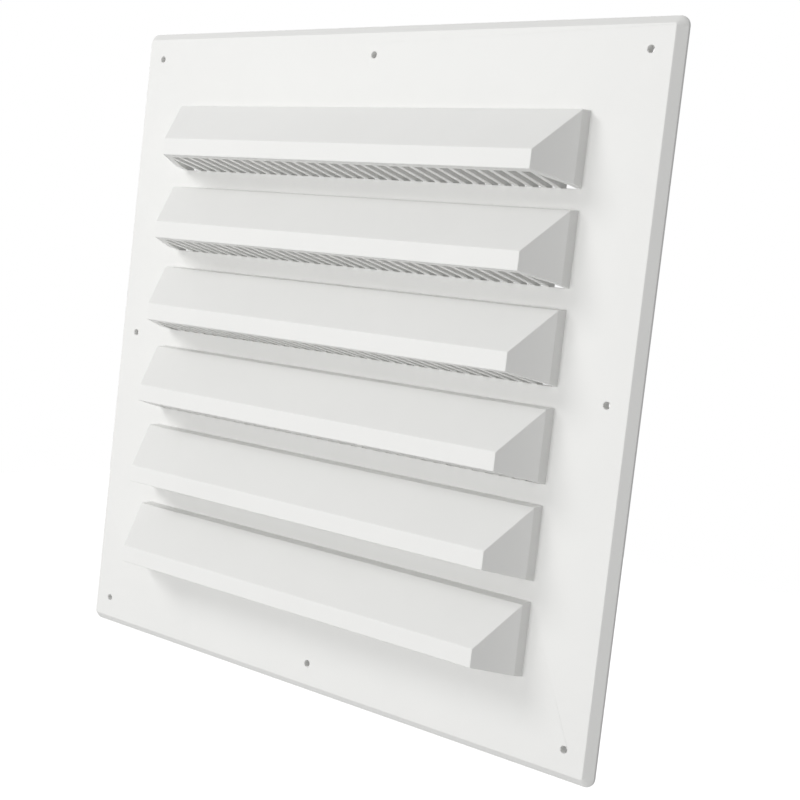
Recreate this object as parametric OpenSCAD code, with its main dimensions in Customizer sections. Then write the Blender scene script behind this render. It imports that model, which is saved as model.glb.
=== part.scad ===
// Louvred vent grille moulded in one piece: a square plate with a bevelled edge, a row of
// hoods whose undersides are slotted, and plain screw holes round the margin.
// X runs to the right, Y into the wall, Z up. The origin is the middle of the plate's back.

/* [Plate] */
// Width and height of the square plate
plate_size = 400; // [375:1:600]
// Depth of the plate from its front face to the wall
plate_t = 6.4; // [6:0.1:12]
// Thickness of the flat skin of the plate
skin_t = 3; // [2:0.1:3.5]
// Width and depth of the bevel round the front edge
edge_bevel = 4.7; // [1:0.1:5]
// Radius of the plate's corners seen from the front
corner_r = 5.6; // [5.2:0.1:12]
// Width of the rim that stands against the wall
rim_w = 4; // [3:0.1:8]

/* [Screw holes] */
// Distance from the plate's edge to the centre of a screw hole
hole_inset = 17.5; // [14:0.1:22]
// Diameter of a screw hole
hole_d = 4; // [3:0.1:6]
// Diameter of the boss behind a screw hole
boss_d = 12; // [9:0.5:16]

/* [Hoods] */
// Number of hoods
hood_count = 6; // [1:1:6]
// Distance from one hood to the next
hood_pitch = 52.3; // [50:0.1:56]
// Width of a hood where it leaves the plate
hood_w = 303.4; // [290:0.1:320]
// Height of a hood where it leaves the plate
hood_h = 41; // [38:0.1:43]
// Depth of the square step at the foot of a hood
hood_step = 7.8; // [4:0.1:10]
// How much the top of the step falls towards its front edge
step_fall = 0.7; // [0:0.1:2]
// Depth of a hood in front of the plate
hood_depth = 31.2; // [25:0.1:40]
// Width of a hood's front face
front_w = 277; // [260:1:290]
// Height of a hood's front face
front_h = 10.2; // [8:0.1:14]
// How much higher the underside lies at the front than at the plate
front_rise = 5.8; // [3:0.1:7]
// Thickness of the hood's walls
wall_t = 3; // [2:0.1:3.5]

/* [Slots] */
// Distance from one fin to the next
fin_pitch = 8.85; // [7:0.01:12]
// Thickness of a fin
fin_t = 3.3; // [1.6:0.1:4]
// Height of the fins' level top edges above the foot of the hood
fin_top = 10; // [8:0.1:12]
// Distance from the hood's front face to the front end of a slot
slot_land = 5.4; // [4:0.1:7]
// Width of the lip between the outer slots and the hood's tapered ends
end_land = 4.6; // [4:0.1:6]

/* [Hidden] */
$fn = 40;

// Planes of the grille along Y
wall_y = 0;
face_y = -plate_t;
step_y = face_y - hood_step;
front_y = face_y - hood_depth;
// How far a cut runs past the surface that it opens
past = 1;

// Slope of a hood's top and taper of its ends, from the plane of the step to the front
taper_depth = hood_depth - hood_step;
top_angle = atan2(hood_h - step_fall - front_rise - front_h, taper_depth);
side_angle = atan2((hood_w - front_w) / 2, taper_depth);

field_h = (hood_count - 1) * hood_pitch + hood_h;
hood_feet = [for (i = [0 : hood_count - 1]) field_h / 2 - hood_h - i * hood_pitch];

fin_count = 2 * floor((hood_w / 2 - end_land) / fin_pitch - 0.5);
fin_places = [for (i = [0 : fin_count - 1]) (i - (fin_count - 1) / 2) * fin_pitch];

hole_reach = plate_size / 2 - hole_inset;
hole_places = [for (x = [-1, 0, 1], z = [-1, 0, 1]) if (x != 0 || z != 0) [x, z] * hole_reach];

// Extrudes a profile drawn in Y and Z along X, to both sides of the middle
module along_x(width) {
    translate([-width / 2, 0, 0]) rotate([90, 0, 90]) linear_extrude(width) children();
}

// Extrudes a profile drawn in X and Y up from the foot of the hood
module along_z(from, height) {
    translate([0, 0, from]) linear_extrude(height) children();
}

module at_corners(reach) {
    for (x = [-reach, reach], z = [-reach, reach]) translate([x, 0, z]) children();
}

// Half of the plate's edge: the bevelled profile of one direction, from edge to edge
module edge_profile() {
    reach = plate_size / 2;
    polygon([
        [wall_y, -reach], [face_y + edge_bevel, -reach], [face_y, -reach + edge_bevel],
        [face_y, reach - edge_bevel], [face_y + edge_bevel, reach], [wall_y, reach]
    ]);
}

// The plate as a full block with its bevel and round corners
module plate_block() {
    straight = plate_size - 2 * corner_r;
    along_x(straight) edge_profile();
    rotate([0, 90, 0]) along_x(straight) edge_profile();
    at_corners(straight / 2) rotate([90, 0, 0]) {
        cylinder(h = plate_t - edge_bevel, r = corner_r);
        translate([0, 0, plate_t - edge_bevel])
            cylinder(h = edge_bevel, r1 = corner_r, r2 = corner_r - edge_bevel);
    }
}

// The hollow behind the skin, inside the rim
module back_pocket() {
    reach = plate_size / 2 - rim_w;
    depth = plate_t - skin_t;
    translate([-reach, -depth, -reach]) cube([2 * reach, depth + past, 2 * reach]);
}

// The collar that carries the opening of one hood back to the wall
module collar() {
    translate([-hood_w / 2, face_y + skin_t / 2, -wall_t])
        cube([hood_w, plate_t - skin_t / 2, hood_h + wall_t]);
}

// One hood as a full block, with its foot at Z = 0
module hood_block() {
    intersection() {
        along_x(hood_w) polygon([
            [wall_y, -wall_t / 2], [face_y + wall_t / 2, -wall_t / 2], [face_y, 0],
            [front_y, front_rise], [front_y, front_rise + front_h],
            [step_y, hood_h - step_fall], [face_y, hood_h], [wall_y, hood_h]
        ]);
        along_z(-wall_t, hood_h + 2 * wall_t) polygon([
            [-hood_w / 2, wall_y], [-hood_w / 2, step_y], [-front_w / 2, front_y],
            [front_w / 2, front_y], [hood_w / 2, step_y], [hood_w / 2, wall_y]
        ]);
    }
}

// The outline of a hood's hollow seen from above: walls of thickness t round the tapered part,
// and of wall_t at the plate
module hollow_plan(t) {
    half_plate = hood_w / 2 - wall_t;
    half_step = hood_w / 2 - t;
    half_front = front_w / 2 - t / cos(side_angle);
    taper_y = step_y + t * tan(side_angle / 2);
    along_z(-2 * past, hood_h) polygon([
        [-half_plate, wall_y + past], [-half_plate, face_y], [-half_step, taper_y],
        [-half_front, front_y], [half_front, front_y],
        [half_step, taper_y], [half_plate, face_y], [half_plate, wall_y + past]
    ]);
}

// The hollow of one hood: a chamber open through the back, and a mouth in its floor
module hood_hollow() {
    floor_z = front_rise + wall_t;
    roof_z = hood_h - step_fall - wall_t;
    inner_front_z = front_rise + front_h + wall_t * (tan(top_angle) - 1 / cos(top_angle));
    intersection() {
        along_x(hood_w) polygon([
            [wall_y + past, floor_z], [wall_y + past, roof_z],
            [step_y + wall_t * tan(top_angle / 2), roof_z],
            [front_y + wall_t, inner_front_z], [front_y + wall_t, floor_z]
        ]);
        hollow_plan(wall_t);
    }
    intersection() {
        along_x(hood_w) polygon([
            [wall_y + past, 0], [wall_y + past, floor_z + past],
            [front_y + slot_land, floor_z + past], [front_y + slot_land, -past],
            [face_y, -past], [face_y, 0]
        ]);
        hollow_plan(end_land);
    }
}

// The row of upright fins between the slots, as full bars from front to back
module fin_bars() {
    for (x = fin_places)
        translate([x - fin_t / 2, front_y, -2 * past])
            cube([fin_t, hood_depth + plate_t + 2 * past, fin_top + 2 * past]);
}

module screw_holes(d, from, to) {
    for (p = hole_places)
        translate([p[0], from, p[1]]) rotate([-90, 0, 0]) cylinder(h = to - from, d = d);
}

module grille() {
    color("WhiteSmoke") difference() {
        union() {
            difference() {
                plate_block();
                difference() {
                    back_pocket();
                    for (z = hood_feet) translate([0, 0, z]) collar();
                    screw_holes(boss_d, face_y + skin_t / 2, wall_y + 2 * past);
                }
            }
            for (z = hood_feet) translate([0, 0, z]) hood_block();
        }
        for (z = hood_feet) translate([0, 0, z]) difference() {
            hood_hollow();
            fin_bars();
        }
        screw_holes(hole_d, face_y - past, wall_y + past);
    }
}

grille();
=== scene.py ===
import math

import bpy
from mathutils import Matrix, Vector

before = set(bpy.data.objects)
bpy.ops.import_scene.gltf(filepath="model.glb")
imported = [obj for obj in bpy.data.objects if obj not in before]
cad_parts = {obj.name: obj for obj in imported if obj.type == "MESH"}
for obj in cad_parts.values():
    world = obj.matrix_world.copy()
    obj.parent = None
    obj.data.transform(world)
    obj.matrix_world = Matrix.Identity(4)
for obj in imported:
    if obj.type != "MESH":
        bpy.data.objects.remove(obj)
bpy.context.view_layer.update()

# The grille is one injection moulding of white PP: a bevelled square plate, six hoods and their
# slotted undersides in one shot. The tool leaves a fine spark-eroded grain on the show side,
# slow swirls where the melt filled the plate, and edges rounded to a few tenths of a millimetre.
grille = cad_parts["grille"]
white_plastic_colour = (0.83, 0.83, 0.815)
grain_size = 0.0007
grain_depth = 0.00003
swirl_size = 0.05
edge_radius = 0.0004
sharp_edge = math.radians(25)


def white_moulded_plastic():
    material = bpy.data.materials.new("white_moulded_plastic")
    material.use_nodes = True
    nodes, links = material.node_tree.nodes, material.node_tree.links
    plastic = nodes["Principled BSDF"]
    plastic.inputs["IOR"].default_value = 1.49
    plastic.inputs["Specular IOR Level"].default_value = 0.4

    place = nodes.new("ShaderNodeTexCoord")

    swirl = nodes.new("ShaderNodeTexNoise")
    swirl.inputs["Scale"].default_value = 1 / swirl_size
    swirl.inputs["Detail"].default_value = 3
    swirl.inputs["Distortion"].default_value = 0.6
    links.new(place.outputs["Object"], swirl.inputs["Vector"])

    tint = nodes.new("ShaderNodeValToRGB")
    tint.color_ramp.elements[0].position = 0.3
    tint.color_ramp.elements[1].position = 0.7
    tint.color_ramp.elements[0].color = [c * 0.985 for c in white_plastic_colour] + [1]
    tint.color_ramp.elements[1].color = [*white_plastic_colour, 1]
    links.new(swirl.outputs["Fac"], tint.inputs["Fac"])
    links.new(tint.outputs["Color"], plastic.inputs["Base Color"])

    sheen_spread = nodes.new("ShaderNodeMapRange")
    sheen_spread.inputs["To Min"].default_value = 0.46
    sheen_spread.inputs["To Max"].default_value = 0.56
    links.new(swirl.outputs["Fac"], sheen_spread.inputs["Value"])
    links.new(sheen_spread.outputs["Result"], plastic.inputs["Roughness"])

    grain = nodes.new("ShaderNodeTexNoise")
    grain.inputs["Scale"].default_value = 1 / grain_size
    grain.inputs["Detail"].default_value = 2
    links.new(place.outputs["Object"], grain.inputs["Vector"])

    bump = nodes.new("ShaderNodeBump")
    bump.inputs["Strength"].default_value = 0.5
    bump.inputs["Distance"].default_value = grain_depth
    links.new(grain.outputs["Fac"], bump.inputs["Height"])
    links.new(bump.outputs["Normal"], plastic.inputs["Normal"])
    return material


grille.data.materials.clear()
grille.data.materials.append(white_moulded_plastic())

weld = grille.modifiers.new("join_corners", "WELD")
weld.merge_threshold = 0.000002
flats = grille.modifiers.new("join_flats", "DECIMATE")
flats.decimate_type = "DISSOLVE"
flats.angle_limit = math.radians(0.5)
edges = grille.modifiers.new("round_edges", "BEVEL")
edges.width = edge_radius
edges.segments = 2
edges.limit_method = "ANGLE"
edges.angle_limit = sharp_edge
edges.use_clamp_overlap = False
edges.harden_normals = True

# The studio floor is a plain pale sheet well below the grille, which hangs at the height of a
# wall vent. To the camera it is white, apart from the grille's own soft shadow.
floor_z = -1.2
floor_size = 12

floor_mesh = bpy.data.meshes.new("floor")
corner = floor_size / 2
floor_mesh.from_pydata(
    [(-corner, -corner, floor_z), (corner, -corner, floor_z), (corner, corner, floor_z), (-corner, corner, floor_z)],
    [],
    [(0, 1, 2, 3)],
)
floor = bpy.data.objects.new("floor", floor_mesh)
bpy.context.scene.collection.objects.link(floor)


def white_to_camera(nodes, links, lit, white_strength):
    """Returns a mask that is 1 for camera, mirror and see-through rays, for mixing white into a shader that lights
    the rest.
    """
    path = nodes.new("ShaderNodeLightPath")
    mirror = nodes.new("ShaderNodeMath")
    mirror.operation = "MAXIMUM"
    links.new(path.outputs["Is Camera Ray"], mirror.inputs[0])
    links.new(path.outputs["Is Glossy Ray"], mirror.inputs[1])
    seen = nodes.new("ShaderNodeMath")
    seen.operation = "MAXIMUM"
    links.new(mirror.outputs["Value"], seen.inputs[0])
    links.new(path.outputs["Is Transmission Ray"], seen.inputs[1])
    return seen


floor_material = bpy.data.materials.new("pale_floor")
floor_material.use_nodes = True
floor_nodes, floor_links = floor_material.node_tree.nodes, floor_material.node_tree.links
paint = floor_nodes["Principled BSDF"]
paint.inputs["Base Color"].default_value = (0.8, 0.8, 0.8, 1)
paint.inputs["Roughness"].default_value = 0.9
glow = floor_nodes.new("ShaderNodeEmission")
glow.inputs["Strength"].default_value = 0.8
seen = white_to_camera(floor_nodes, floor_links, paint, 1)
glow_share = floor_nodes.new("ShaderNodeMixShader")
both = floor_nodes.new("ShaderNodeAddShader")
floor_links.new(paint.outputs["BSDF"], both.inputs[0])
floor_links.new(glow.outputs["Emission"], both.inputs[1])
floor_links.new(seen.outputs["Value"], glow_share.inputs["Fac"])
floor_links.new(paint.outputs["BSDF"], glow_share.inputs[1])
floor_links.new(both.outputs["Shader"], glow_share.inputs[2])
floor_links.new(glow_share.outputs["Shader"], floor_nodes["Material Output"].inputs["Surface"])
floor_mesh.materials.append(floor_material)

# The room is a white studio: plain white behind the grille, and a dimmer soft light all round.
room_light = 0.35

room = bpy.data.worlds.new("studio")
bpy.context.scene.world = room
room.use_nodes = True
room_nodes, room_links = room.node_tree.nodes, room.node_tree.links
soft = room_nodes["Background"]
soft.inputs["Color"].default_value = (1, 1, 1, 1)
soft.inputs["Strength"].default_value = room_light
white = room_nodes.new("ShaderNodeBackground")
white.inputs["Color"].default_value = (1, 1, 1, 1)
white.inputs["Strength"].default_value = 1
room_seen = white_to_camera(room_nodes, room_links, soft, 1)
room_mix = room_nodes.new("ShaderNodeMixShader")
room_links.new(room_seen.outputs["Value"], room_mix.inputs["Fac"])
room_links.new(soft.outputs["Background"], room_mix.inputs[1])
room_links.new(white.outputs["Background"], room_mix.inputs[2])
room_links.new(room_mix.outputs["Shader"], room_nodes["World Output"].inputs["Surface"])


# The lamps are round soft boxes that face the grille: azimuth 0 stands straight in front of the
# plate and 90 to its right.
def soft_box(name, azimuth, elevation, distance, size, power):
    lamp = bpy.data.lights.new(name, "AREA")
    lamp.shape = "DISK"
    lamp.size = size
    lamp.energy = power
    stand = bpy.data.objects.new(name, lamp)
    bpy.context.scene.collection.objects.link(stand)
    turn, rise = math.radians(azimuth), math.radians(elevation)
    ahead = Vector((math.sin(turn) * math.cos(rise), -math.cos(turn) * math.cos(rise), math.sin(rise)))
    stand.location = ahead * distance
    stand.rotation_euler = (-ahead).to_track_quat("-Z", "Y").to_euler()


soft_box("front_box", 0, 0, 2.2, 1.2, 20)
soft_box("upper_left_box", -35, 30, 2.2, 0.9, 15)

# The camera stands to the right of the grille, a little above its middle, and leans to one side.
camera_place = Vector((0.54056, -0.64122, 0.04364))
camera_turn = math.radians(37.80)
camera_tilt = math.radians(-4.186)
camera_lean = math.radians(6.49)

camera_data = bpy.data.cameras.new("camera")
camera_data.sensor_width = 36
camera_data.lens = 63.0
camera = bpy.data.objects.new("camera", camera_data)
bpy.context.scene.collection.objects.link(camera)
camera.matrix_world = (
    Matrix.Translation(camera_place)
    @ Matrix.Rotation(camera_turn, 4, "Z")
    @ Matrix.Rotation(math.pi / 2 + camera_tilt, 4, "X")
    @ Matrix.Rotation(camera_lean, 4, "Z")
)
bpy.context.scene.camera = camera
bpy.context.scene.view_settings.view_transform = "Standard"
